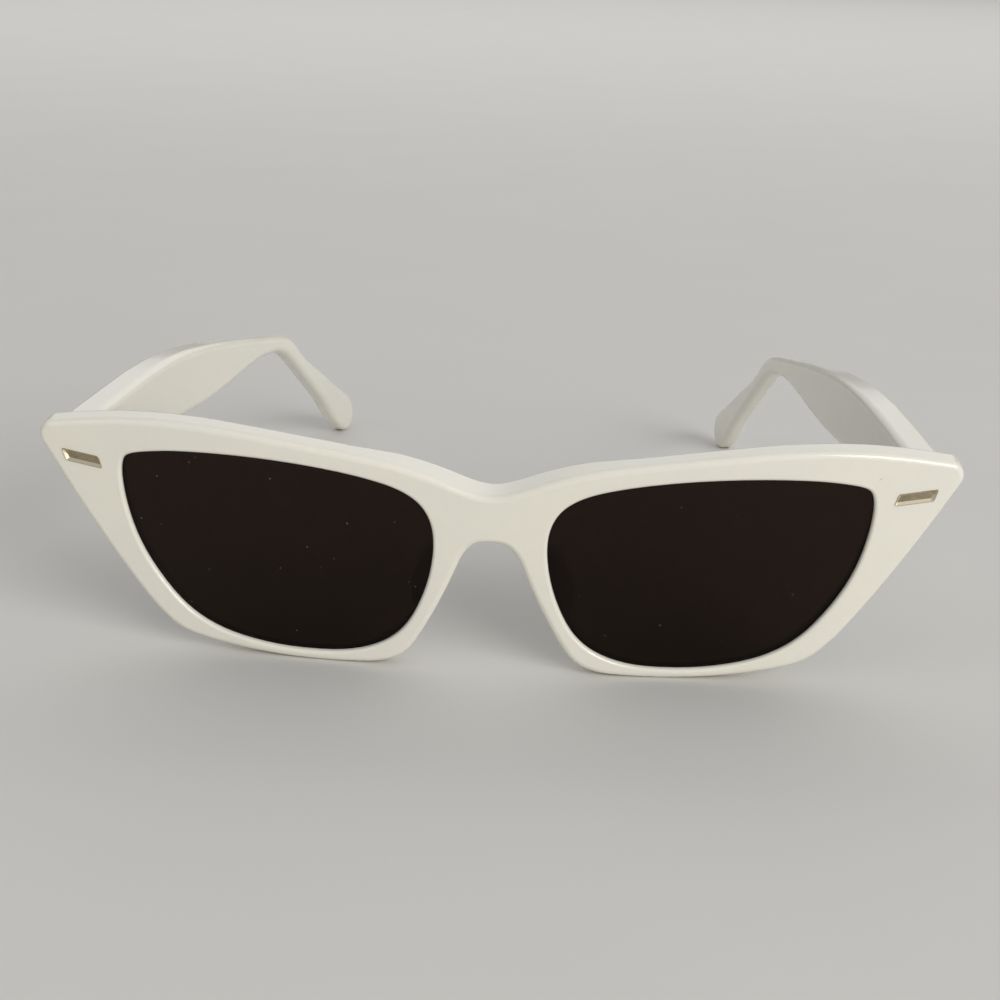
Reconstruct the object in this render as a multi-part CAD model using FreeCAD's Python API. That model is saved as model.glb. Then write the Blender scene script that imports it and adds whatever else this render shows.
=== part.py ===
import FreeCAD, Part
import math
import os

# Cat eye sunglasses with an acetate front, two acetate temples and riveted five-barrel hinges.
# Millimetres. The glasses are drawn in the axes of the front: +X towards the wearer's left ear,
# +Y from the front face back to the ears, +Z up along the rims, with the front face of the bridge
# at Y = 0. At the end they lean forward by REST_LEAN onto the lower rims and the temple tips.
# Each sided piece is drawn on the wearer's left, +X, and mirrored to the right.

Vector = FreeCAD.Vector

# Front
FACE_RADIUS = 450.0
RIM_THICKNESS = 4.2
BRIDGE_THICKNESS = 6.0
BRIDGE_HALF_WIDTH = 7.5
BRIDGE_BLEND_END = 24.0
TIP_RADIUS = 2.6
FACE_EDGE_RADIUS = 1.0
BACK_EDGE_RADIUS = 0.8
OPENING_FACE_RADIUS = 0.5
OPENING_BACK_RADIUS = 0.4
BROW_EDGE = [(0, 31.15), (5, 32.4), (10, 34.3), (15, 35.8), (22, 37.1), (35, 38.85), (50, 40.15),
             (60, 39.85), (68, 38.75), (74.6, 37.5)]
LOWER_EDGE = [(74.6, 37.5), (66.8, 23.6), (59.2, 11.6), (54.9, 5.9), (51.4, 2.9), (46.5, 1.25),
              (39, 0), (30, -0.6), (21.5, -0.45), (17.0, 0.2), (14.0, 1.8), (11.7, 4.8),
              (8.5, 10.9), (5.6, 17.6), (4.1, 20.9), (2.4, 22.6), (0, 23.0)]
OPENING = [(49.6, 35.2), (42, 35.35), (33, 34.95), (25, 34.05), (18.6, 32.8), (14.0, 31.2),
           (11.0, 28.9), (9.4, 25.6), (9.1, 20.8), (9.9, 15.8), (11.4, 11.3), (13.3, 7.6),
           (15.8, 4.8), (19.3, 2.75), (23.9, 1.5), (29, 1.15), (34, 1.3), (38.7, 1.95),
           (44, 3.4), (49.6, 6.7), (53.8, 11.6), (57.2, 17.7), (59.2, 24.6), (59.7, 29.4),
           (59.4, 32.3), (58.85, 33.4), (57.8, 34.0), (56, 34.45), (53, 34.9)]

# Lenses
LENS_THICKNESS = 2.0
LENS_SETBACK = 0.9
GROOVE_DEPTH = 0.65
GROOVE_CLEARANCE = 0.04

# Nose pads: oval acetate wings on the back of the rims
PAD_CENTRE = Vector(9.9, 5.6, 14.5)
PAD_HALF_SIZE = Vector(1.5, 4.6, 6.6)
PAD_FLARE = 28.0
PAD_SLOPE = 24.0

# Corner of the front, where the plaque, the hinge and the temple root meet
CORNER_X = 65.0
PLAQUE_OUT = 1.1
PLAQUE_HEIGHT = 32.4
PLAQUE_LENGTH = 6.3
PLAQUE_WIDTH = 2.0
PLAQUE_SLANT = 0.4
PLAQUE_THICKNESS = 0.9
PLAQUE_PROUD = 0.08
PLAQUE_RISE = 7.3
PLAQUE_ACUTE_RADIUS = 0.25
PLAQUE_OBTUSE_RADIUS = 0.6
PLAQUE_LEAST_RADIUS = 0.1
PLAQUE_LIP = 0.08
PLAQUE_BEVEL = 0.38
PLAQUE_FIELD_DEPTH = 0.4
PIN_RADIUS = 0.55
PIN_SPREAD = 1.9

# Hinge
HINGE_Z = 33.8
HINGE_IN = 2.1
HINGE_BEHIND_BACK = 2.2
KNUCKLE_RADIUS = 1.6
KNUCKLE_HEIGHT = 1.35
KNUCKLE_GAP = 0.06
KNUCKLES = 5
SCREW_RADIUS = 0.7
SCREW_HEAD_RADIUS = 1.15
SCREW_HEAD_HEIGHT = 0.5
SCREW_SLOT_WIDTH = 0.3
RUNNING_CLEARANCE = 0.05
PLATE_THICKNESS = 1.0
FRONT_PLATE_X = (-4.2, 3.9)
FRONT_PLATE_Z = (30.6, 37.6)
PLATE_CORNER_RADIUS = 0.6
STEM_HALF_WIDTH = 1.1

# Temple arms, in axes that start at the hinge: +Y along the arm, +Z up, +X outward
TEMPLE_DROP = 10.0
TEMPLE_CLEAR_OF_HINGE = 1.9
MITRE_GAP = 0.15
ROOT_THICKNESS = 5.0
ARM_SIDE = [(-6, 3.8), (8, 5.6), (22, 7.2), (33, 7.6), (46, 6.9), (62, 5.2), (78, 3.0), (86, 1.8),
            (91.5, 0.3), (98, -3.6), (112, -10.8), (127, -18.3), (132.4, -22.0), (133.2, -25.0),
            (130.6, -28.3), (126.8, -27.5), (116, -19.7), (104, -11.6), (95, -5.9), (88.5, -2.6),
            (82, -1.2), (75, -0.9), (64, -1.8), (52, -3.3), (40, -4.1), (26, -4.3), (10, -4.9),
            (-6, -5.8)]
ARM_INNER_FLAT = [(-6, 0), (20, 0)]
ARM_INNER_BOW = [(20, 0), (50, -0.15), (84, -0.55), (100, -0.85), (118, -1.55), (134, -2.5)]
ARM_OUTER = [(134, 0.9), (105, 2.3), (80, 3.1), (40, 4.4), (-6, ROOT_THICKNESS + 0.1)]
ARM_INNER_RADIUS = 1.3
ARM_OUTER_RADIUS = 0.6

# Core wires, temple plates and temple rivets
WIRE_WIDTH = 1.8
WIRE_THICKNESS = 0.9
WIRE_INSET = 0.7
WIRE_START = 16.0
WIRE_STRAIGHT = 64.0
WIRE_BEND_RADIUS = 25.0
WIRE_BEND = 30.0
WIRE_EAR = 24.0
WIRE_RISE = 0.95
TEMPLE_PLATE_SETBACK = 0.6
TEMPLE_PLATE_LENGTH = 12.0
TEMPLE_PLATE_HEIGHT = 7.0
TEMPLE_PLATE_TAIL = 4.0
RIVET_RADIUS = 0.65
RIVET_HEAD_RADIUS = 1.05
RIVET_HEAD_HEIGHT = 0.5
RIVET_HEAD_ROUNDING = 0.2
RIVET_LENGTH = 5.1
RIVET_PLACES = (4.6, 9.6)

REST_LEAN = 7.0

# Extents of the slabs and prisms that shapes are cut from, larger than the shapes all round
SLAB_HALF_WIDTH = 80.0
SLAB_LOW = -10.0
SLAB_HEIGHT = 60.0
OUTLINE_Y = -5.0
THROUGH = 40.0
ARM_BLANK_LOW = Vector(-20, 0, -60)
ARM_BLANK_SIZE = Vector(40, 0, 120)
TEMPLE_SPACE = Vector(30, 200, 120)
OVERCUT = 1.0

# Two places nearer than this are the same place
TOUCH = 0.01


def curve_through(points, closed=False, start_way=None):
    curve = Part.BSplineCurve()
    if start_way:
        tangents = [start_way] + [Vector(0, 0, 0)] * (len(points) - 1)
        flags = [True] + [False] * (len(points) - 1)
        curve.interpolate(Points=points, Tangents=tangents, TangentFlags=flags)
    else:
        curve.interpolate(Points=points, PeriodicFlag=closed)
    return curve


def chain(curve, pieces):
    """A smooth curve as a chain of edges."""
    first = curve.FirstParameter
    step = (curve.LastParameter - first) / pieces
    return [curve.toShape(first + index * step, first + (index + 1) * step)
            for index in range(pieces)]


def spline(points, pieces):
    return chain(curve_through(points), pieces)


def ends_of(edges):
    """The first and last points of a chain of edges."""
    return edges[0].firstVertex(True).Point, edges[-1].lastVertex(True).Point


def in_xz(points, y=0.0):
    return [Vector(x, y, z) for x, z in points]


def in_xy(points, z=0.0):
    """Points given as distance along Y and offset along X."""
    return [Vector(x, y, z) for y, x in points]


def in_yz(points, x=0.0):
    return [Vector(x, y, z) for y, z in points]


def prism(edges, way):
    return Part.Face(Part.Wire(edges)).extrude(way)


def mirrored_x(shape):
    return shape.mirror(Vector(0, 0, 0), Vector(1, 0, 0))


def face_depth(x, below_face=0.0):
    """Y of a surface that lies the given depth behind the curved face."""
    radius = FACE_RADIUS - below_face
    return FACE_RADIUS - math.sqrt(radius * radius - x * x)


def on_shell(x, below_face):
    return Vector(x, face_depth(x, below_face), 0)


def shell_arc(x_start, x_end, below_face):
    middle = on_shell((x_start + x_end) / 2, below_face)
    return Part.Arc(on_shell(x_start, below_face), middle, on_shell(x_end, below_face)).toShape()


def blend(start, start_way, end, end_way):
    curve = Part.BSplineCurve()
    curve.interpolate(Points=[start, end], InitialTangent=start_way, FinalTangent=end_way)
    return curve.toShape()


def front_plan():
    """The front seen from above: a curved slab that is thicker behind the bridge."""
    half_width = SLAB_HALF_WIDTH
    face = shell_arc(-half_width, half_width, 0)
    left_rim = shell_arc(half_width, BRIDGE_BLEND_END, RIM_THICKNESS)
    bridge = shell_arc(BRIDGE_HALF_WIDTH, -BRIDGE_HALF_WIDTH, BRIDGE_THICKNESS)
    right_rim = shell_arc(-BRIDGE_BLEND_END, -half_width, RIM_THICKNESS)
    blend_length = BRIDGE_BLEND_END - BRIDGE_HALF_WIDTH
    inward = Vector(-blend_length, 0, 0)
    left_blend = blend(on_shell(BRIDGE_BLEND_END, RIM_THICKNESS), inward,
                       on_shell(BRIDGE_HALF_WIDTH, BRIDGE_THICKNESS), inward)
    right_blend = blend(on_shell(-BRIDGE_HALF_WIDTH, BRIDGE_THICKNESS), inward,
                        on_shell(-BRIDGE_BLEND_END, RIM_THICKNESS), inward)
    ends = [Part.LineSegment(on_shell(side * half_width, 0),
                             on_shell(side * half_width, RIM_THICKNESS)).toShape()
            for side in (1, -1)]
    return [face, ends[0], left_rim, left_blend, bridge, right_blend, right_rim, ends[1]]


def both_halves(points):
    """A half outline from the middle out to the tip, continued over both halves."""
    return [(-x, z) for x, z in reversed(points) if x > 0] + list(points)


def edges_where(shape, test):
    return [edge for edge in shape.Edges if test(edge)]


def depth_range(edge):
    """How far behind the curved face an edge runs: its least and greatest depth."""
    below = [FACE_RADIUS - math.hypot(point.x, point.y - FACE_RADIUS)
             for point in edge.discretize(9)]
    return min(below), max(below)


def is_upright(edge):
    """True for an edge that runs through the thickness or along Z, not along an outline."""
    return edge.Curve.TypeId == "Part::GeomLine"


def face_edges(shape, chosen=lambda edge: True):
    return edges_where(shape, lambda edge: depth_range(edge)[1] < TOUCH and chosen(edge))


def back_edges(shape, chosen=lambda edge: True):
    return edges_where(shape, lambda edge: depth_range(edge)[0] > RIM_THICKNESS - 0.05
                       and not is_upright(edge) and chosen(edge))


def blank_front():
    brow = spline(in_xz(both_halves(BROW_EDGE), OUTLINE_Y), 5)
    lower = spline(in_xz(both_halves(list(reversed(LOWER_EDGE))), OUTLINE_Y), 9)
    slab = prism(front_plan(), Vector(0, 0, SLAB_HEIGHT))
    slab.translate(Vector(0, 0, SLAB_LOW))
    blank = slab.common(prism(brow + lower, Vector(0, THROUGH, 0))).Solids[0]
    tips = edges_where(blank, lambda edge: is_upright(edge) and depth_range(edge)[0] < 1)
    return blank.makeFillet(TIP_RADIUS, tips)


def around_opening(edge):
    """True for an edge that lies on the wall of one of the two lens openings."""
    wall = opening_outline()
    return all(Part.Vertex(abs(point.x), OUTLINE_Y, point.z).distToShape(wall)[0] < 2 * TOUCH
               for point in edge.discretize(5))


def opening_outline(margin=0.0):
    """The outline of a lens opening, made larger all round by the margin."""
    curve = curve_through(in_xz(OPENING, OUTLINE_Y), closed=True)
    if margin:
        grown = []
        for parameter in curve.getKnots()[:-1]:
            along = curve.tangent(parameter)[0]
            grown.append(curve.value(parameter) + Vector(along.z, 0, -along.x) * margin)
        curve = curve_through(grown, closed=True)
    return Part.Wire(chain(curve, 6))


def opening_prism(margin=0.0):
    return Part.Face(opening_outline(margin)).extrude(Vector(0, THROUGH, 0))


def rim_front():
    """The front with rounded edges and both openings, before anything is let into it."""
    front = blank_front()
    front = front.makeFillet(FACE_EDGE_RADIUS, face_edges(front)).Solids[0]
    front = front.makeFillet(BACK_EDGE_RADIUS, back_edges(front)).Solids[0]
    opening = opening_prism()
    front = front.cut([opening, mirrored_x(opening)]).Solids[0]
    front = front.makeFillet(OPENING_FACE_RADIUS, face_edges(front, around_opening)).Solids[0]
    return front.makeFillet(OPENING_BACK_RADIUS, back_edges(front, around_opening)).Solids[0]


def lens(clearance=0.0):
    """A lens that follows the curve of the face and reaches into the groove all round."""
    half = SLAB_HALF_WIDTH
    near = shell_arc(half, -half, LENS_SETBACK - clearance)
    far = shell_arc(-half, half, LENS_SETBACK + LENS_THICKNESS + clearance)
    ends = [Part.LineSegment(near.Vertexes[1].Point, far.Vertexes[0].Point).toShape(),
            Part.LineSegment(far.Vertexes[1].Point, near.Vertexes[0].Point).toShape()]
    slab = prism([near, ends[0], far, ends[1]], Vector(0, 0, SLAB_HEIGHT))
    slab.translate(Vector(0, 0, SLAB_LOW))
    return slab.common(opening_prism(GROOVE_DEPTH + clearance)).Solids[0]


def lens_groove():
    return lens(GROOVE_CLEARANCE)


def nose_pad(front):
    ball = Part.makeSphere(1.0)
    stretch = FreeCAD.Matrix()
    stretch.scale(PAD_HALF_SIZE)
    pad = ball.transformGeometry(stretch)
    pad.rotate(Vector(0, 0, 0), Vector(0, 0, 1), -PAD_FLARE)
    pad.rotate(Vector(0, 0, 0), Vector(0, 1, 0), -PAD_SLOPE)
    pad.translate(PAD_CENTRE)
    pad = pad.cut(front)
    return max(pad.Solids, key=lambda solid: solid.CenterOfMass.y)


def at_corner(shape):
    """Move a shape from the axes of the corner, whose origin is on the face, to the front's."""
    turn = math.degrees(math.asin(CORNER_X / FACE_RADIUS))
    placed = shape.copy()
    placed.rotate(Vector(0, 0, 0), Vector(0, 0, 1), turn)
    placed.translate(on_shell(CORNER_X, 0))
    return placed


def box(x_range, y_range, z_range):
    size = [high - low for low, high in (x_range, y_range, z_range)]
    return Part.makeBox(*size, Vector(x_range[0], y_range[0], z_range[0]))


def plaque_bar(margin, y_range):
    """A parallelogram bar with two tight and two wider corners, made smaller all round."""
    half_length = PLAQUE_LENGTH / 2 - margin
    half_width = PLAQUE_WIDTH / 2 - margin
    slant = PLAQUE_SLANT
    outline = [(-half_length - slant, -half_width), (half_length - slant, -half_width),
               (half_length + slant, half_width), (-half_length + slant, half_width)]
    face = Part.Face(Part.makePolygon(in_xz(outline + outline[:1], y_range[0])))
    bar = face.extrude(Vector(0, y_range[1] - y_range[0], 0))
    for corners, radius in ((outline[0::2], PLAQUE_ACUTE_RADIUS),
                            (outline[1::2], PLAQUE_OBTUSE_RADIUS)):
        at_corners = edges_where(bar, lambda edge: any(
            math.hypot(edge.CenterOfMass.x - x, edge.CenterOfMass.z - z) < TOUCH
            for x, z in corners))
        bar = bar.makeFillet(max(radius - margin, PLAQUE_LEAST_RADIUS), at_corners)
    return bar


def tilted_plaque(shape):
    placed = shape.copy()
    placed.rotate(Vector(0, 0, 0), Vector(0, 1, 0), -PLAQUE_RISE)
    placed.translate(Vector(PLAQUE_OUT, 0, PLAQUE_HEIGHT))
    return at_corner(placed)


def plaque_blank():
    """A metal bar with two pins that go through the front and the hinge plate."""
    back = PLAQUE_THICKNESS - PLAQUE_PROUD
    pieces = []
    for place in (-PIN_SPREAD, PIN_SPREAD):
        start = Vector(place, back - TOUCH, 0)
        pieces.append(Part.makeCylinder(PIN_RADIUS, RIM_THICKNESS - start.y, start, Vector(0, 1, 0)))
    return plaque_bar(0, (-PLAQUE_PROUD, back)).fuse(pieces).removeSplitter()


def plaque_rim(margin, y):
    """The outline of the plaque, made smaller all round, at one depth."""
    bar = plaque_bar(margin, (y, y + PLAQUE_THICKNESS))
    end = [face for face in bar.Faces if face.BoundBox.YMax < y + TOUCH]
    return end[0].OuterWire


def plaque_hollow():
    """A flat sunken field with sloping sides."""
    top = plaque_rim(PLAQUE_LIP, -PLAQUE_PROUD)
    field = plaque_rim(PLAQUE_LIP + PLAQUE_BEVEL, PLAQUE_FIELD_DEPTH - PLAQUE_PROUD)
    return Part.makeLoft([top, field], True, True)


def plaque():
    return tilted_plaque(plaque_blank().cut(plaque_hollow())).Solids[0]


def plaque_seat():
    """The space that a plaque and its pins take up in the pieces they go through."""
    return tilted_plaque(plaque_blank())


def hinge_axis_at():
    return Vector(-HINGE_IN, RIM_THICKNESS + HINGE_BEHIND_BACK, HINGE_Z)


def knuckle_ranges(first):
    """Heights of every second knuckle, counted from the first one named."""
    pitch = KNUCKLE_HEIGHT + KNUCKLE_GAP
    low = HINGE_Z - (KNUCKLES * pitch - KNUCKLE_GAP) / 2
    return [(low + index * pitch, low + index * pitch + KNUCKLE_HEIGHT)
            for index in range(first, KNUCKLES, 2)]


def barrel(z_range, radius):
    axis = hinge_axis_at()
    base = Vector(axis.x, axis.y, z_range[0])
    return Part.makeCylinder(radius, z_range[1] - z_range[0], base)


def knuckle(z_range, stem_x, stem_y):
    return barrel(z_range, KNUCKLE_RADIUS).fuse(box(stem_x, stem_y, z_range))


def screw_hole():
    low = knuckle_ranges(0)[0]
    high = knuckle_ranges(0)[-1]
    top = high[1] + OVERCUT
    threaded = barrel((low[0] - OVERCUT, low[1]), SCREW_RADIUS)
    running = barrel((low[1] - TOUCH, top), SCREW_RADIUS + RUNNING_CLEARANCE)
    seat = barrel((high[1] - SCREW_HEAD_HEIGHT, top), SCREW_HEAD_RADIUS)
    return threaded.fuse([running, seat])


def front_plate():
    back = RIM_THICKNESS
    plate = box(FRONT_PLATE_X, (back - PLATE_THICKNESS, back), FRONT_PLATE_Z)
    corners = edges_where(plate, lambda edge: edge.BoundBox.YLength > PLATE_THICKNESS / 2)
    return plate.makeFillet(PLATE_CORNER_RADIUS, corners)


def front_hinge_leaf():
    """A plate sunk flush into the back of the front, with three of the five knuckles."""
    axis = hinge_axis_at()
    stem_x = (axis.x - STEM_HALF_WIDTH, axis.x + STEM_HALF_WIDTH)
    stem_y = (RIM_THICKNESS - PLATE_THICKNESS / 2, axis.y)
    leaf = front_plate().fuse([knuckle(heights, stem_x, stem_y) for heights in knuckle_ranges(0)])
    leaf = leaf.cut(screw_hole()).removeSplitter()
    return at_corner(leaf).cut(plaque_seat()).Solids[0]


def hinge_screw():
    """The hinge's axle: it runs free in the upper knuckles and is threaded into the lowest."""
    low = knuckle_ranges(0)[0]
    high = knuckle_ranges(0)[-1]
    shank = barrel((low[0], high[1]), SCREW_RADIUS)
    head = barrel((high[1] - SCREW_HEAD_HEIGHT, high[1]), SCREW_HEAD_RADIUS)
    axis = hinge_axis_at()
    half = SCREW_SLOT_WIDTH / 2
    reach = SCREW_HEAD_RADIUS + OVERCUT
    slot = box((axis.x - reach, axis.x + reach), (axis.y - half, axis.y + half),
               (high[1] - SCREW_HEAD_HEIGHT / 2, high[1] + OVERCUT))
    return at_corner(shank.fuse(head).removeSplitter().cut(slot))


def at_hinge(shape):
    """Move a shape from the axes of the arm, whose origin is the hinge, to the front's."""
    placed = shape.copy()
    placed.rotate(Vector(0, 0, 0), Vector(1, 0, 0), -TEMPLE_DROP)
    placed.translate(hinge_axis_at() + Vector(TEMPLE_CLEAR_OF_HINGE, 0, 0))
    return at_corner(placed)


def mitre():
    """The space behind the front's back face, where the temple may be."""
    start = RIM_THICKNESS + MITRE_GAP
    space = TEMPLE_SPACE
    return at_corner(box((-space.x, space.x), (start, start + space.y), (-space.z, space.z)))


def arm_blank():
    low = ARM_BLANK_LOW
    side = spline(in_yz(ARM_SIDE, low.x), 12)
    flat = [Part.makeLine(*in_xy(ARM_INNER_FLAT, low.z))]
    bow = curve_through(in_xy(ARM_INNER_BOW, low.z), start_way=Vector(0, 1, 0))
    inner = flat + chain(bow, 2)
    outer = spline(in_xy(ARM_OUTER, low.z), 3)
    root = Part.makeLine(ends_of(side)[1], ends_of(side)[0])
    back = Part.makeLine(ends_of(inner)[1], ends_of(outer)[0])
    front = Part.makeLine(ends_of(outer)[1], ends_of(inner)[0])
    side_view = prism(side + [root], Vector(ARM_BLANK_SIZE.x, 0, 0))
    plan_view = prism(inner + [back] + outer + [front], Vector(0, 0, ARM_BLANK_SIZE.z))
    return side_view.common(plan_view).Solids[0]


def lengthwise_edges(arm, chosen):
    """Edges that run along the arm or round its tip, picked by how far outward their middles are."""
    picked = []
    for edge in arm.Edges:
        extent = edge.BoundBox
        outward = edge.valueAt((edge.FirstParameter + edge.LastParameter) / 2).x
        if extent.YMax > 0 and max(extent.YLength, extent.ZLength) > 1 and chosen(outward):
            picked.append(edge)
    return picked


def rounded_arm():
    """The arm before its mitre: a tapering bar that swells, narrows and hooks down behind the ear."""
    arm = arm_blank()
    outer = lengthwise_edges(arm, lambda outward: outward > 0.5)
    arm = arm.makeFillet(ARM_OUTER_RADIUS, outer).Solids[0]
    inner = lengthwise_edges(arm, lambda outward: outward < 0.05)
    return arm.makeFillet(ARM_INNER_RADIUS, inner).Solids[0]


def drop_at(distance):
    """How far the arm's axis has dropped, in the axes of the corner, at a distance behind the hinge."""
    return distance * math.tan(math.radians(TEMPLE_DROP))


def temple_plate():
    """The flush plate in the arm's inner face, which slopes with the arm."""
    axis = hinge_axis_at()
    inner_face = axis.x + TEMPLE_CLEAR_OF_HINGE
    start = RIM_THICKNESS + TEMPLE_PLATE_SETBACK
    end = start + TEMPLE_PLATE_LENGTH
    tall = TEMPLE_PLATE_HEIGHT / 2
    tail = TEMPLE_PLATE_TAIL / 2
    drop = drop_at(end - axis.y)
    outline = [(start, HINGE_Z + tall), (start, HINGE_Z - tall),
               (end, HINGE_Z - drop - tail), (end, HINGE_Z - drop + tail)]
    face = Part.Face(Part.makePolygon(in_yz(outline + outline[:1], inner_face)))
    plate = face.extrude(Vector(PLATE_THICKNESS, 0, 0))
    ends = edges_where(plate, lambda edge: edge.BoundBox.XLength > PLATE_THICKNESS / 2
                       and edge.BoundBox.YMin > start + 1)
    return plate.makeFillet(TEMPLE_PLATE_TAIL / 3, ends)


def temple_rivets():
    """Two rivets from the hinge plate through the arm, each with a low head on the outside."""
    axis = hinge_axis_at()
    rivets = []
    for place in RIVET_PLACES:
        y = RIM_THICKNESS + TEMPLE_PLATE_SETBACK + place
        base = Vector(axis.x + TEMPLE_CLEAR_OF_HINGE, y, HINGE_Z - drop_at(y - axis.y))
        head_base = base + Vector(RIVET_LENGTH - RIVET_HEAD_HEIGHT, 0, 0)
        shank = Part.makeCylinder(RIVET_RADIUS, RIVET_LENGTH, base, Vector(1, 0, 0))
        head = Part.makeCylinder(RIVET_HEAD_RADIUS, RIVET_HEAD_HEIGHT, head_base, Vector(1, 0, 0))
        rim = edges_where(head, lambda edge: edge.BoundBox.XMin > head_base.x + 0.1
                          and edge.BoundBox.YLength > RIVET_HEAD_RADIUS)
        rivet = shank.fuse(head.makeFillet(RIVET_HEAD_ROUNDING, rim)).removeSplitter()
        rivets.append(at_corner(rivet).Solids[0])
    return Part.makeCompound(rivets)


def temple_hinge_leaf():
    """A riveted plate with the two knuckles that turn on the screw."""
    axis = hinge_axis_at()
    stem_x = (axis.x, axis.x + TEMPLE_CLEAR_OF_HINGE + PLATE_THICKNESS / 2)
    stem_y = (axis.y - STEM_HALF_WIDTH, axis.y + KNUCKLE_RADIUS)
    leaf = temple_plate().fuse([knuckle(heights, stem_x, stem_y) for heights in knuckle_ranges(1)])
    leaf = at_corner(leaf.cut(screw_hole()).removeSplitter())
    return leaf.cut(temple_rivets()).Solids[0]


def core_wire():
    """A flat stiffening wire that follows the middle of the arm and bends down with the ear end."""
    half = WIRE_WIDTH / 2
    bend_top = WIRE_START + WIRE_STRAIGHT
    turn = math.radians(WIRE_BEND)
    ear_way = Vector(0, math.cos(turn), -math.sin(turn))
    across = Vector(0, math.sin(turn), math.cos(turn))
    pivot = Vector(0, bend_top, WIRE_RISE - WIRE_BEND_RADIUS)
    sides = []
    for radius in (WIRE_BEND_RADIUS + half, WIRE_BEND_RADIUS - half):
        start = Vector(0, WIRE_START, pivot.z + radius)
        bend_start = Vector(0, bend_top, pivot.z + radius)
        middle = pivot + Vector(0, math.sin(turn / 2), math.cos(turn / 2)) * radius
        bend_end = pivot + across * radius
        end = bend_end + ear_way * WIRE_EAR
        sides.append((start, bend_start, middle, bend_end, end))
    upper, lower = sides
    edges = [Part.makeLine(upper[0], upper[1]), Part.Arc(*upper[1:4]).toShape(),
             Part.makeLine(upper[3], upper[4]), Part.makeLine(upper[4], lower[4]),
             Part.makeLine(lower[4], lower[3]), Part.Arc(*reversed(lower[1:4])).toShape(),
             Part.makeLine(lower[1], lower[0]), Part.makeLine(lower[0], upper[0])]
    wire = prism(edges, Vector(WIRE_THICKNESS, 0, 0))
    wire.translate(Vector(WIRE_INSET, 0, 0))
    return at_hinge(wire)


def temple_arm(let_in):
    return at_hinge(rounded_arm()).common(mitre()).cut(let_in).Solids[0]


def one_side(front):
    """Every piece of the wearer's left side except the front itself."""
    side = {
        "lens": lens(),
        "nose_pad": nose_pad(front),
        "plaque": plaque(),
        "front_hinge_leaf": front_hinge_leaf(),
        "hinge_screw": hinge_screw().Solids[0],
        "temple_hinge_leaf": temple_hinge_leaf(),
        "temple_rivets": temple_rivets(),
        "core_wire": core_wire(),
    }
    let_in = [side["temple_hinge_leaf"], side["temple_rivets"], side["core_wire"]]
    side["temple_arm"] = temple_arm(let_in)
    return side


def all_pieces():
    rims = rim_front()
    left = one_side(rims)
    pieces = {name + "_left": shape for name, shape in left.items()}
    pieces.update({name + "_right": mirrored_x(shape) for name, shape in left.items()})
    spaces = [lens_groove(), plaque_seat(), left["front_hinge_leaf"]]
    spaces += [mirrored_x(space) for space in spaces]
    pieces["front_frame"] = rims.cut(spaces).Solids[0]
    return pieces


def at_rest(shape, shift):
    placed = shape.copy()
    placed.rotate(Vector(0, 0, 0), Vector(1, 0, 0), REST_LEAN)
    placed.translate(shift)
    return placed


def shift_to_origin(pieces):
    """The move that puts the origin under the middle of the whole, on the table."""
    leaned = Part.makeCompound([at_rest(shape, Vector(0, 0, 0)) for shape in pieces.values()])
    whole = leaned.optimalBoundingBox()
    return Vector(0, -(whole.YMin + whole.YMax) / 2, -whole.ZMin)


def save_all():
    os.makedirs("parts", exist_ok=True)
    pieces = all_pieces()
    shift = shift_to_origin(pieces)
    for name, shape in pieces.items():
        at_rest(shape, shift).exportStep("parts/" + name + ".step")


save_all()
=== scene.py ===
import math

import bmesh
import bpy
from mathutils import Matrix, Vector


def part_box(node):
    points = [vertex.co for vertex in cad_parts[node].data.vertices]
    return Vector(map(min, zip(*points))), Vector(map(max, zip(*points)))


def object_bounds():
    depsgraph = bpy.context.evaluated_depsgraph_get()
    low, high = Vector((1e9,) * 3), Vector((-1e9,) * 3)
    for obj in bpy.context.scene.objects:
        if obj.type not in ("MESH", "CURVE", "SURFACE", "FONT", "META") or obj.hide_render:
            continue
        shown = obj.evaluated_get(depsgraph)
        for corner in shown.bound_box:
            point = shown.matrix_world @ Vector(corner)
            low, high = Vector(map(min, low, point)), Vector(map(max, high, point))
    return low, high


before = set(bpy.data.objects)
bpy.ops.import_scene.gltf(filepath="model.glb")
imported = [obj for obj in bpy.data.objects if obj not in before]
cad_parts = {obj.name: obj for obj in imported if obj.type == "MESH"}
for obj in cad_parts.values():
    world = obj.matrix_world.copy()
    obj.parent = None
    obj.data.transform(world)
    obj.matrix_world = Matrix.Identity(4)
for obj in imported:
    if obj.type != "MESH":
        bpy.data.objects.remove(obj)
CAD_LOW, CAD_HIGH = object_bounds()

MM = 0.001

# Where the camera stands, seen from the front of the glasses
VIEW_AZIMUTH = 3.54
VIEW_ELEVATION = 18.91
VIEW_ROLL = 1.63
VIEW_DISTANCE = 265.9 * MM
VIEW_LENS = 60.48
AIM_OFFSET = Vector((1.2, 4.4, 29.7)) * MM

# The studio: a round pale floor that curves up into a low wall, in metres
FLOOR_RADIUS = 7.0
WALL_RADIUS = 9.0
WALL_HEIGHT = 3.0
CURVE_STEPS = 24
FLOOR_SECTORS = 96

# The sky, and three lights: place, target, width and depth in metres, power in watts, colour
SKY_COLOR = (0.97, 0.985, 1.0, 1)
SKY_STRENGTH = 0.44
FRONT = (0, CAD_LOW.y, 0.02)
LIGHTS = {
    "window": ((1.15, -1.3, 0.72), FRONT, (1.2, 1.0), 24.0, (1.0, 0.99, 0.97)),
    "room": ((-0.9, -0.6, 0.5), FRONT, (0.9, 0.7), 1.2, (0.96, 0.98, 1.0)),
    "far_floor": ((0, 2.1, 0.9), (0, 2.1, 0), (3.6, 3.0), 20.0, (1, 1, 1)),
}

# Faces of the CAD pieces that meet at less than this angle are shaded as one smooth surface
SMOOTH_ANGLE = math.radians(32)

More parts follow.
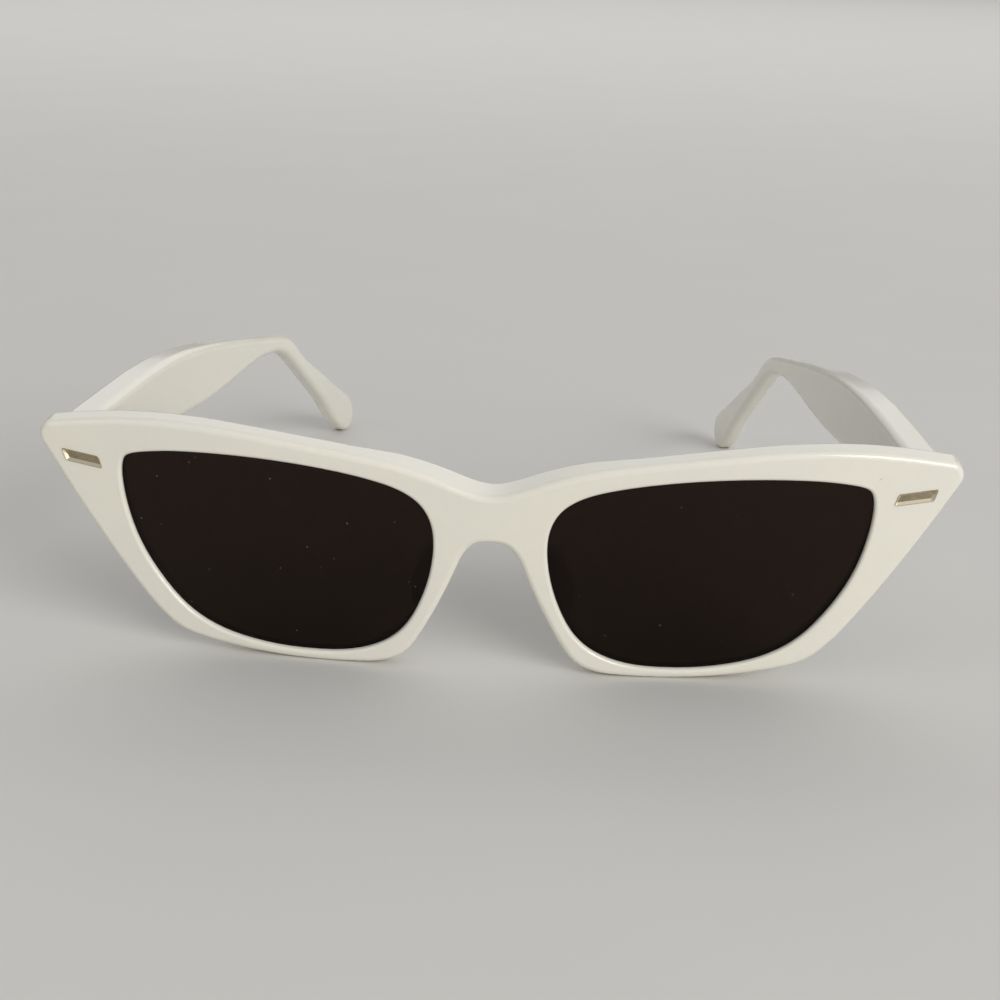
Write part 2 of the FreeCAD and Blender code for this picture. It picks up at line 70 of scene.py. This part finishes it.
# Colours, sRGB values as seen under white light
PAPER_DARK = (212, 210, 206)
PAPER_LIGHT = (216, 214, 210)
IVORY_COOL = (228, 225, 215)
IVORY_WARM = (232, 228, 214)
IVORY_GRAIN = (205, 198, 180)
SCRATCH_TONE = (196, 189, 172)
SCUFF_TONE = (120, 116, 108)
DUST_TONE = (186, 180, 168)
PLAQUE_BEVEL = (218, 208, 186)
# The plaque's field tones sit below its bevel's as painted shade for a dark reflection; the spread
# between them is stains.
PLAQUE_FIELD_DARK = (152, 141, 118)
PLAQUE_FIELD_LIGHT = (182, 169, 144)
RIVET_TONE = (196, 184, 160)
HINGE_TONE = (205, 200, 188)
SCREW_TONE = (198, 199, 200)
WIRE_TONE = (190, 184, 170)

# The body of the lens and the tint of its reflections, linear
LENS_BODY = (0.014, 0.0085, 0.006, 1)
LENS_REFLECTION = (1.0, 0.78, 0.66, 1)

# The scuff on the brow: how far it is from the middle and the top of the plaque on the
# wearer's left, its half sizes and its tilt in radians
SCUFF_ACROSS = -5.9 * MM
SCUFF_UP = 1.6 * MM
SCUFF_HALF_SIZE = (0.55 * MM, 3 * MM, 0.13 * MM)
SCUFF_TILT = (0, 0.6, 0)

# The way the plaque on the wearer's left faces; the other one faces its mirror image
PLAQUE_FACING = (0.1444, -0.9821, -0.1206)


def linear(color):
    """Linear colour from sRGB values of 0 to 255."""
    out = []
    for value in color:
        share = value / 255
        out.append(share / 12.92 if share <= 0.04045 else ((share + 0.055) / 1.055) ** 2.4)
    return (*out, 1)


class Shader:
    """A node material with a Principled shader and short calls for the nodes that feed it."""

    def __init__(self, name, **constants):
        self.material = bpy.data.materials.new(name)
        self.material.use_nodes = True
        self.tree = self.material.node_tree
        self.surface = self.tree.nodes["Principled BSDF"]
        for socket, value in constants.items():
            self.surface.inputs[socket.replace("_", " ")].default_value = value

    def node(self, kind, inputs=None, **settings):
        """A new node; each input is either linked to a socket or set to a value."""
        made = self.tree.nodes.new("ShaderNode" + kind)
        for name, value in settings.items():
            setattr(made, name, value)
        for name, value in (inputs or {}).items():
            if isinstance(value, bpy.types.NodeSocket):
                self.tree.links.new(value, made.inputs[name])
            else:
                made.inputs[name].default_value = value
        return made

    def feed(self, socket, value):
        self.tree.links.new(value, self.surface.inputs[socket])

    def place(self, stretch=(1, 1, 1), turn=(0, 0, 0)):
        """Object coordinates in millimetres, stretched and turned."""
        coordinates = self.node("TexCoord").outputs["Object"]
        scale = [1 / (MM * way) for way in stretch]
        return self.node("Mapping", {"Vector": coordinates, "Scale": scale,
                                     "Rotation": turn}).outputs["Vector"]

    def noise(self, size, detail=2.0, roughness=0.5, distortion=0.0, **placing):
        """Noise of 0 to 1 whose features are about the given number of millimetres across."""
        return self.node("TexNoise", {"Vector": self.place(**placing), "Scale": 1 / size,
                                      "Detail": detail, "Roughness": roughness,
                                      "Distortion": distortion}).outputs["Fac"]

    def span(self, value, low, high, to_low=0.0, to_high=1.0):
        """The value carried from one range to another and kept inside it."""
        return self.node("MapRange", {"Value": value, "From Min": low, "From Max": high,
                                      "To Min": to_low, "To Max": to_high}).outputs["Result"]

    def math(self, operation, first, second=0.0):
        return self.node("Math", {0: first, 1: second}, operation=operation).outputs[0]

    def mix(self, share, first, second):
        mixer = self.node("Mix", data_type="RGBA")
        for index, value in ((0, share), (6, first), (7, second)):
            if isinstance(value, bpy.types.NodeSocket):
                self.tree.links.new(value, mixer.inputs[index])
            else:
                mixer.inputs[index].default_value = value
        return mixer.outputs[2]

    def bump(self, height, depth, strength=1.0, under=None):
        """Relief of the given depth in millimetres."""
        inputs = {"Height": height, "Distance": depth * MM, "Strength": strength}
        if under is not None:
            inputs["Normal"] = under
        return self.node("Bump", inputs).outputs["Normal"]

    def hairlines(self, length, turn, share):
        """Fine straight scratches: thin ridges of stretched noise, kept only in patches."""
        lines = self.noise(0.35, 1.0, stretch=(length, 1, 1), turn=turn)
        from_middle = self.math("ABSOLUTE", self.math("SUBTRACT", lines, 0.5))
        thin = self.span(from_middle, 0.0, 0.006, 1.0, 0.0)
        patches = self.span(self.noise(7.0, 2.0, turn=turn), 1 - share, 1.0)
        return self.math("MULTIPLY", thin, patches)

    def near(self, point, half_size, turn):
        """1 inside a small turned ellipsoid round a point in the part's own axes, 0 outside."""
        coordinates = self.node("TexCoord").outputs["Object"]
        moved = self.node("VectorMath", {0: coordinates, 1: point}, operation="SUBTRACT")
        turned = self.node("Mapping", {"Vector": moved.outputs[0], "Rotation": turn}).outputs[0]
        scaled = self.node("VectorMath", {0: turned, 1: half_size}, operation="DIVIDE")
        reach = self.node("VectorMath", {0: scaled.outputs[0]}, operation="LENGTH")
        return self.span(reach.outputs["Value"], 0.4, 1.0, 1.0, 0.0)

    def scuff(self):
        """One small rubbed mark on the brow, beside the plaque on the wearer's left."""
        low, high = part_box("plaque_left")
        place = ((low.x + high.x) / 2 + SCUFF_ACROSS, low.y, high.z + SCUFF_UP)
        return self.near(place, SCUFF_HALF_SIZE, SCUFF_TILT)

    def flat_on(self, facing):
        """1 where the surface faces the given way or its mirror image, falling to 0 beside it."""
        normal = self.node("SeparateXYZ", {0: self.node("TexCoord").outputs["Normal"]})
        across = self.math("ABSOLUTE", normal.outputs["X"])
        one_side = self.node("CombineXYZ", {"X": across, "Y": normal.outputs["Y"],
                                            "Z": normal.outputs["Z"]})
        aligned = self.node("VectorMath", {0: one_side.outputs[0], 1: facing},
                            operation="DOT_PRODUCT")
        return self.span(aligned.outputs["Value"], 0.9, 0.99)

    def specks(self, spacing, size, share):
        """Round specks in a share of the cells of a grid of the given spacing, in millimetres."""
        cells = self.node("TexVoronoi", {"Vector": self.place(), "Scale": 1 / spacing})
        chosen = self.node("SeparateColor", {"Color": cells.outputs["Color"]})
        kept = self.math("LESS_THAN", chosen.outputs["Red"], share)
        radius = self.math("MULTIPLY", chosen.outputs["Green"], size / spacing)
        inside = self.math("LESS_THAN", cells.outputs["Distance"], radius)
        return self.math("MULTIPLY", kept, inside)


def make_camera():
    """The camera, turned about its aim point by the yaw, pitch and roll of the view."""
    middle_x = (CAD_LOW.x + CAD_HIGH.x) / 2
    aim = Vector((middle_x, CAD_LOW.y, CAD_LOW.z)) + AIM_OFFSET
    yaw = math.radians(VIEW_AZIMUTH)
    pitch = math.radians(VIEW_ELEVATION)
    roll = math.radians(VIEW_ROLL)
    forward = Vector((-math.sin(yaw) * math.cos(pitch), math.cos(yaw) * math.cos(pitch),
                      -math.sin(pitch)))
    level = Vector((math.cos(yaw), math.sin(yaw), 0))
    upward = level.cross(forward)
    right = level * math.cos(roll) + upward * math.sin(roll)
    up = upward * math.cos(roll) - level * math.sin(roll)
    turn = Matrix((right, up, -forward)).transposed().to_4x4()
    camera_data = bpy.data.cameras.new("camera")
    camera_data.lens = VIEW_LENS
    camera_data.sensor_width = 36
    camera_data.clip_start = 0.005
    camera = bpy.data.objects.new("camera", camera_data)
    camera.matrix_world = Matrix.Translation(aim - forward * VIEW_DISTANCE) @ turn
    bpy.context.scene.collection.objects.link(camera)
    bpy.context.scene.camera = camera


def area_light(name, place, target, size, power, color):
    data = bpy.data.lights.new(name, "AREA")
    data.shape = "RECTANGLE"
    data.size, data.size_y = size
    data.energy = power
    data.color = color
    light = bpy.data.objects.new(name, data)
    light.location = place
    light.rotation_euler = (Vector(target) - Vector(place)).to_track_quat("-Z", "Y").to_euler()
    bpy.context.scene.collection.objects.link(light)


def floor_material():
    paper = Shader("studio_floor", Roughness=0.85, Specular_IOR_Level=0.1)
    cloud = paper.noise(60, 3.0)
    paper.feed("Base Color", paper.mix(cloud, linear(PAPER_DARK), linear(PAPER_LIGHT)))
    paper.feed("Normal", paper.bump(paper.noise(0.5, 2.0), 0.01, 0.3))
    return paper.material


def make_floor():
    """A disc that rises in a quarter circle to a low wall."""
    lift = WALL_RADIUS - FLOOR_RADIUS
    profile = [(0.0, 0.0), (FLOOR_RADIUS / 2, 0.0)]
    for step in range(CURVE_STEPS + 1):
        angle = math.pi / 2 * step / CURVE_STEPS
        profile.append((FLOOR_RADIUS + lift * math.sin(angle), lift * (1 - math.cos(angle))))
    profile.append((WALL_RADIUS, WALL_HEIGHT))
    shape = bmesh.new()
    points = [shape.verts.new((radius, 0, CAD_LOW.z + height)) for radius, height in profile]
    edges = [shape.edges.new(pair) for pair in zip(points, points[1:])]
    bmesh.ops.spin(shape, geom=points + edges, cent=(0, 0, 0), axis=(0, 0, 1),
                   angle=2 * math.pi, steps=FLOOR_SECTORS, use_merge=True)
    bmesh.ops.remove_doubles(shape, verts=shape.verts, dist=1e-5)
    bmesh.ops.recalc_face_normals(shape, faces=shape.faces)
    mesh = bpy.data.meshes.new("floor")
    shape.to_mesh(mesh)
    shape.free()
    mesh.shade_smooth()
    mesh.materials.append(floor_material())
    floor = bpy.data.objects.new("floor", mesh)
    bpy.context.scene.collection.objects.link(floor)


def make_light():
    world = bpy.data.worlds.new("world")
    bpy.context.scene.world = world
    world.use_nodes = True
    sky = world.node_tree.nodes["Background"]
    sky.inputs["Color"].default_value = SKY_COLOR
    sky.inputs["Strength"].default_value = SKY_STRENGTH
    for name, settings in LIGHTS.items():
        area_light(name, *settings)
    bpy.context.scene.view_settings.view_transform = "Standard"
    bpy.context.scene.view_settings.look = "None"


def acetate_material():
    """Polished ivory cellulose acetate: faint clouding, a waxy body, fine handling marks."""
    acetate = Shader("ivory_acetate", Subsurface_Weight=0.12, Subsurface_Scale=0.0012,
                     Subsurface_Radius=(1.0, 0.85, 0.6), Coat_Weight=0.35, Coat_Roughness=0.06,
                     IOR=1.48)
    cloud = acetate.span(acetate.noise(28, 2.0, 0.5, 0.6), 0.3, 0.7)
    body = acetate.mix(cloud, linear(IVORY_COOL), linear(IVORY_WARM))
    grain = acetate.span(acetate.noise(1.6, 3.0), 0.3, 0.7, 0.0, 0.05)
    body = acetate.mix(grain, body, linear(IVORY_GRAIN))
    scratches = acetate.math("MAXIMUM", acetate.hairlines(14, (0, 0.5, 0.25), 0.5),
                             acetate.hairlines(10, (0, -0.9, -0.4), 0.42))
    body = acetate.mix(acetate.math("MULTIPLY", scratches, 0.25), body, linear(SCRATCH_TONE))
    body = acetate.mix(acetate.math("MULTIPLY", acetate.scuff(), 0.35), body, linear(SCUFF_TONE))
    acetate.feed("Base Color", body)
    polish = acetate.span(acetate.noise(9, 3.0, 0.6), 0.3, 0.7, 0.17, 0.27)
    acetate.feed("Roughness", acetate.math("ADD", polish, acetate.math("MULTIPLY", scratches, 0.2)))
    waves = acetate.bump(acetate.noise(3.5, 2.0), 0.012)
    acetate.feed("Normal", acetate.bump(scratches, -0.002, under=waves))
    return acetate.material


def lens_material():
    """A very dark brown tint, with dust specks and faint smears on its polished surface."""
    lens = Shader("dark_tint", IOR=1.3, Coat_Weight=0.0, Specular_Tint=LENS_REFLECTION)
    dust = lens.math("MAXIMUM", lens.specks(1.1, 0.07, 0.2), lens.specks(3.1, 0.12, 0.16))
    lens.feed("Base Color", lens.mix(dust, LENS_BODY, linear(DUST_TONE)))
    lens.feed("Transmission Weight", lens.span(dust, 0.0, 1.0, 1.0, 0.1))
    smears = lens.span(lens.noise(11, 3.0, 0.6, 0.8), 0.45, 0.75, 0.02, 0.09)
    lens.feed("Roughness", lens.math("MAXIMUM", smears, lens.math("MULTIPLY", dust, 0.7)))
    return lens.material


def metal_material(name, color, low, high):
    """Tumbled or drawn metal, darker in its pits, with roughness between two values."""
    metal = Shader(name, Metallic=1.0)
    lines = metal.noise(0.12, 3.0, 0.6)
    stains = metal.noise(1.8, 3.0, 0.6)
    dark = tuple(value * 0.78 for value in linear(color)[:3]) + (1,)
    metal.feed("Base Color", metal.mix(metal.span(stains, 0.35, 0.65), dark, linear(color)))
    metal.feed("Roughness", metal.span(lines, 0.3, 0.7, low, high))
    metal.feed("Normal", metal.bump(lines, 0.003))
    return metal.material


def plaque_material():
    """A tray with a stained sunken field, coloured darker than its polished sides as painted shade
    for a dark reflection.
    """
    plaque = Shader("plaque_metal", Metallic=1.0)
    field = plaque.flat_on(PLAQUE_FACING)
    lines = plaque.noise(0.12, 3.0, 0.6, stretch=(9, 1, 1), turn=(0, 0.13, 0))
    stains = plaque.span(plaque.noise(1.1, 3.0, 0.6), 0.3, 0.7)
    # Painted shade: the field is coloured darker than the bevel to stand for a dark reflection,
    # with stains between its two tones.
    field_stains_and_shade = plaque.mix(stains, linear(PLAQUE_FIELD_DARK), linear(PLAQUE_FIELD_LIGHT))
    plaque.feed("Base Color", plaque.mix(field, linear(PLAQUE_BEVEL), field_stains_and_shade))
    worn = plaque.span(lines, 0.3, 0.7, 0.34, 0.48)
    plaque.feed("Roughness", plaque.span(field, 0.0, 1.0, 0.5, worn))
    plaque.feed("Normal", plaque.bump(lines, 0.003))
    return plaque.material


MATERIALS = {
    "acetate": acetate_material(),
    "lens_tint": lens_material(),
    "plaque_metal": plaque_material(),
    "rivet_metal": metal_material("rivet_metal", RIVET_TONE, 0.2, 0.36),
    "hinge_metal": metal_material("hinge_metal", HINGE_TONE, 0.22, 0.42),
    "screw_steel": metal_material("screw_steel", SCREW_TONE, 0.14, 0.3),
    "wire_metal": metal_material("wire_metal", WIRE_TONE, 0.3, 0.45),
}
SLOT_OF = {
    "front_frame": "acetate", "temple_arm": "acetate", "nose_pad": "acetate",
    "lens": "lens_tint", "plaque": "plaque_metal", "front_hinge_leaf": "hinge_metal",
    "temple_hinge_leaf": "hinge_metal", "temple_rivets": "rivet_metal",
    "hinge_screw": "screw_steel", "core_wire": "wire_metal",
}


def dress_cad():
    """Gives each CAD piece its material and shades its curved faces smooth."""
    for name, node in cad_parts.items():
        kind = name.removesuffix("_left").removesuffix("_right")
        node.data.materials.clear()
        node.data.materials.append(MATERIALS[SLOT_OF[kind]])
        node.data.shade_smooth()
        node.data.set_sharp_from_angle(angle=SMOOTH_ANGLE)


dress_cad()
make_floor()
make_light()
make_camera()
